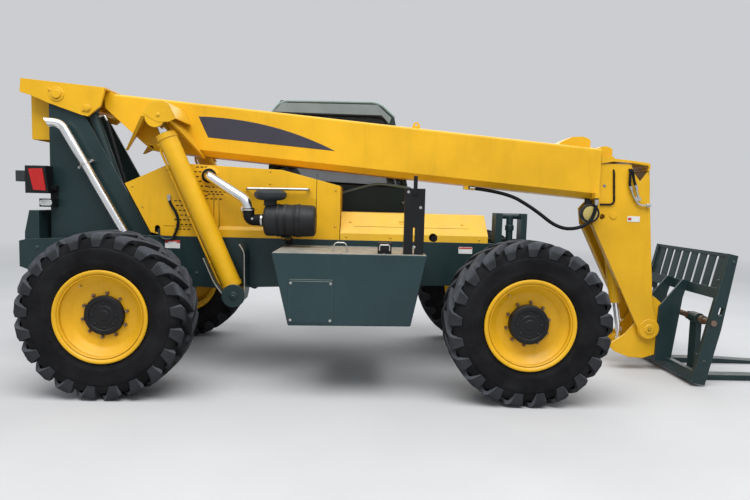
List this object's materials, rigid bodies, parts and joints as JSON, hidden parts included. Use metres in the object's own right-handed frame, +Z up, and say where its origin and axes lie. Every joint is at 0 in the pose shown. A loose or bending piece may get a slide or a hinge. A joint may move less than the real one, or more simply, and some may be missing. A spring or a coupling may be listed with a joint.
{
  "type": "telehandler",
  "caption": "Telescopic handler with a three-section boom, side cab, four steered wheels and a pallet fork carriage.",
  "frame": {"origin": "on the ground under the middle of the machine, forks included", "axes": "+X forward along the machine, +Y to its left, +Z up"},
  "size_m": [7.1797, 2.4406, 2.4799],
  "materials": {
    "yellow_paint": "gloss",
    "dark_paint": "satin",
    "black_paint": "satin",
    "bare_steel": "worn",
    "chrome_rod": "polished",
    "rim_paint": "satin",
    "tyre_rubber": "matte",
    "clear_glass": "clear",
    "black_plastic": "matte",
    "seat_cover": "matte",
    "hose_rubber": "matte"
  },
  "bodies": {
    "chassis": {"frame": "dark_paint", "lift_bracket_left": "dark_paint", "lift_bracket_right": "dark_paint", "rear_weight": "dark_paint", "boom_tower": "dark_paint", "engine_block": "black_paint", "engine_hood": "yellow_paint", "air_cleaner": "black_paint", "intake_pipe": "bare_steel", "sway_cylinder": "dark_paint", "exhaust_pipe": "bare_steel", "tail_lamps": "black_paint", "front_deck": "yellow_paint", "side_tank": "dark_paint", "mirror_post": "dark_paint", "cab_frame": "dark_paint", "cab_glass": "clear_glass", "cab_controls": "black_plastic", "seat": "seat_cover"},
    "door": {"cab_door": "dark_paint", "door_glass": "clear_glass"},
    "boom_base": {"boom_outer": "yellow_paint", "work_lamp": "black_paint", "boom_hose": "hose_rubber"},
    "boom_middle": {"boom_mid": "yellow_paint"},
    "boom_end": {"boom_inner": "yellow_paint", "boom_head": "yellow_paint"},
    "slave_barrel": {"slave_barrel": "dark_paint"},
    "slave_rod": {"slave_rod": "chrome_rod"},
    "tilt_barrel": {"tilt_barrel": "yellow_paint"},
    "tilt_rod": {"tilt_rod": "chrome_rod"},
    "carriage": {"quick_attach": "yellow_paint", "fork_carriage": "dark_paint", "fork_shaft": "bare_steel"},
    "fork_left": {"fork_left": "dark_paint"},
    "fork_right": {"fork_right": "dark_paint"},
    "lift_rod_left": {"lift_rod_left": "chrome_rod"},
    "lift_barrel_left": {"lift_barrel_left": "yellow_paint"},
    "lift_rod_right": {"lift_rod_right": "chrome_rod"},
    "lift_barrel_right": {"lift_barrel_right": "yellow_paint"},
    "axle_front": {"axle_front": "black_paint"},
    "steer_rod_front": {"steer_rod_front": "chrome_rod"},
    "knuckle_front_left": {"knuckle_front_left": "black_paint"},
    "wheel_front_left": {"tyre_front_left": "tyre_rubber", "rim_front_left": "rim_paint"},
    "knuckle_front_right": {"knuckle_front_right": "black_paint"},
    "wheel_front_right": {"tyre_front_right": "tyre_rubber", "rim_front_right": "rim_paint"},
    "axle_rear": {"axle_rear": "black_paint"},
    "steer_rod_rear": {"steer_rod_rear": "chrome_rod"},
    "knuckle_rear_left": {"knuckle_rear_left": "black_paint"},
    "wheel_rear_left": {"tyre_rear_left": "tyre_rubber", "rim_rear_left": "rim_paint"},
    "knuckle_rear_right": {"knuckle_rear_right": "black_paint"},
    "wheel_rear_right": {"tyre_rear_right": "tyre_rubber", "rim_rear_right": "rim_paint"}
  },
  "joints": [
    {"name": "boom_lift", "type": "hinge", "parent": "chassis", "child": "boom_base", "pos_m": [-3.28237, 0, 2.355], "axis": [0, -1, 0], "range_deg": [0, 70]},
    {"name": "boom_extend", "type": "slide", "parent": "boom_base", "child": "boom_middle", "axis": [0.9966, 0, -0.0819], "range_m": [0, 3.4]},
    {"name": "boom_extend_end", "type": "slide", "parent": "boom_middle", "child": "boom_end", "axis": [0.9966, 0, -0.0819], "range_m": [0, 3.4]},
    {"name": "carriage_tilt", "type": "hinge", "parent": "boom_end", "child": "carriage", "pos_m": [2.01263, 0, 0.402], "axis": [0, -1, 0], "range_deg": [-85, 12]},
    {"name": "cab_door_hinge", "type": "hinge", "parent": "chassis", "child": "door", "pos_m": [-1.51737, 1.17, 1.6], "axis": [0, 0, 1], "range_deg": [0, 95]},
    {"name": "slave_barrel_turn", "type": "hinge", "parent": "boom_base", "child": "slave_barrel", "pos_m": [-3.02946, -0.205, 2.24591], "axis": [0, -1, 0], "range_deg": [-75, 0]},
    {"name": "slave_rod_slide", "type": "slide", "parent": "slave_barrel", "child": "slave_rod", "axis": [0.3273, 0, -0.9449], "range_m": [0, 0.33]},
    {"name": "tilt_barrel_turn", "type": "hinge", "parent": "boom_end", "child": "tilt_barrel", "pos_m": [1.61763, 0, 1.44], "axis": [0, -1, 0], "range_deg": [-2, 6]},
    {"name": "tilt_rod_slide", "type": "slide", "parent": "tilt_barrel", "child": "tilt_rod", "axis": [0.1741, 0, -0.9847], "range_m": [-0.32, 0.06]},
    {"name": "lift_rod_turn_left", "type": "hinge", "parent": "boom_base", "child": "lift_rod_left", "pos_m": [-2.3487, 0.5, 2.14178], "axis": [0, -1, 0], "range_deg": [-75, 0]},
    {"name": "lift_barrel_slide_left", "type": "slide", "parent": "lift_rod_left", "child": "lift_barrel_left", "axis": [0.4049, 0, -0.9143], "range_m": [0, 1.15]},
    {"name": "fork_left_swing", "type": "hinge", "parent": "carriage", "child": "fork_left", "pos_m": [2.34263, 0.22, 0.555], "axis": [0, -1, 0], "range_deg": [0, 35]},
    {"name": "lift_rod_turn_right", "type": "hinge", "parent": "boom_base", "child": "lift_rod_right", "pos_m": [-2.3487, -0.5, 2.14178], "axis": [0, -1, 0], "range_deg": [-75, 0]},
    {"name": "lift_barrel_slide_right", "type": "slide", "parent": "lift_rod_right", "child": "lift_barrel_right", "axis": [0.4049, 0, -0.9143], "range_m": [0, 1.15]},
    {"name": "fork_right_swing", "type": "hinge", "parent": "carriage", "child": "fork_right", "pos_m": [2.34263, -0.35, 0.555], "axis": [0, -1, 0], "range_deg": [0, 35]},
    {"name": "axle_front_sway", "type": "hinge", "parent": "chassis", "child": "axle_front", "pos_m": [0.60263, 0, 0.625], "axis": [1, 0, 0], "range_deg": [-8, 8]},
    {"name": "steer_rod_front_slide", "type": "slide", "parent": "axle_front", "child": "steer_rod_front", "axis": [0, 1, 0], "range_m": [-0.13, 0.13]},
    {"name": "steer_front_left", "type": "hinge", "parent": "axle_front", "child": "knuckle_front_left", "pos_m": [0.60263, 0.78, 0.625], "axis": [0, 0, 1], "range_deg": [-32, 32]},
    {"name": "wheel_front_left_spin", "type": "hinge", "parent": "knuckle_front_left", "child": "wheel_front_left", "pos_m": [0.60263, 1.025, 0.625], "axis": [0, 1, 0], "continuous": true},
    {"name": "steer_front_right", "type": "hinge", "parent": "axle_front", "child": "knuckle_front_right", "pos_m": [0.60263, -0.78, 0.625], "axis": [0, 0, 1], "range_deg": [-32, 32]},
    {"name": "wheel_front_right_spin", "type": "hinge", "parent": "knuckle_front_right", "child": "wheel_front_right", "pos_m": [0.60263, -1.025, 0.625], "axis": [0, 1, 0], "continuous": true},
    {"name": "axle_rear_sway", "type": "hinge", "parent": "chassis", "child": "axle_rear", "pos_m": [-2.54737, 0, 0.625], "axis": [1, 0, 0], "range_deg": [-8, 8]},
    {"name": "steer_rod_rear_slide", "type": "slide", "parent": "axle_rear", "child": "steer_rod_rear", "axis": [0, 1, 0], "range_m": [-0.13, 0.13]},
    {"name": "steer_rear_left", "type": "hinge", "parent": "axle_rear", "child": "knuckle_rear_left", "pos_m": [-2.54737, 0.78, 0.625], "axis": [0, 0, 1], "range_deg": [-32, 32]},
    {"name": "wheel_rear_left_spin", "type": "hinge", "parent": "knuckle_rear_left", "child": "wheel_rear_left", "pos_m": [-2.54737, 1.025, 0.625], "axis": [0, 1, 0], "continuous": true},
    {"name": "steer_rear_right", "type": "hinge", "parent": "axle_rear", "child": "knuckle_rear_right", "pos_m": [-2.54737, -0.78, 0.625], "axis": [0, 0, 1], "range_deg": [-32, 32]},
    {"name": "wheel_rear_right_spin", "type": "hinge", "parent": "knuckle_rear_right", "child": "wheel_rear_right", "pos_m": [-2.54737, -1.025, 0.625], "axis": [0, 1, 0], "continuous": true}
  ],
  "couplings": [
    {"joint": "boom_extend_end", "follows": "boom_extend", "ratio": 1},
    {"joint": "slave_barrel_turn", "follows": "boom_lift", "ratio": -1.0238},
    {"joint": "slave_rod_slide", "follows": "boom_lift", "m_per_rad": 0.25693},
    {"joint": "tilt_barrel_turn", "follows": "carriage_tilt", "ratio": -0.056498},
    {"joint": "tilt_rod_slide", "follows": "carriage_tilt", "m_per_rad": 0.20882},
    {"joint": "lift_rod_turn_left", "follows": "boom_lift", "ratio": -1.0103},
    {"joint": "lift_barrel_slide_left", "follows": "boom_lift", "m_per_rad": 0.899},
    {"joint": "lift_rod_turn_right", "follows": "boom_lift", "ratio": -1.0103},
    {"joint": "lift_barrel_slide_right", "follows": "boom_lift", "m_per_rad": 0.899},
    {"joint": "steer_rod_front_slide", "follows": "steer_front_left", "m_per_rad": -0.21},
    {"joint": "steer_front_right", "follows": "steer_front_left", "ratio": 1},
    {"joint": "steer_rod_rear_slide", "follows": "steer_rear_left", "m_per_rad": 0.21},
    {"joint": "steer_rear_right", "follows": "steer_rear_left", "ratio": 1}
  ]
}
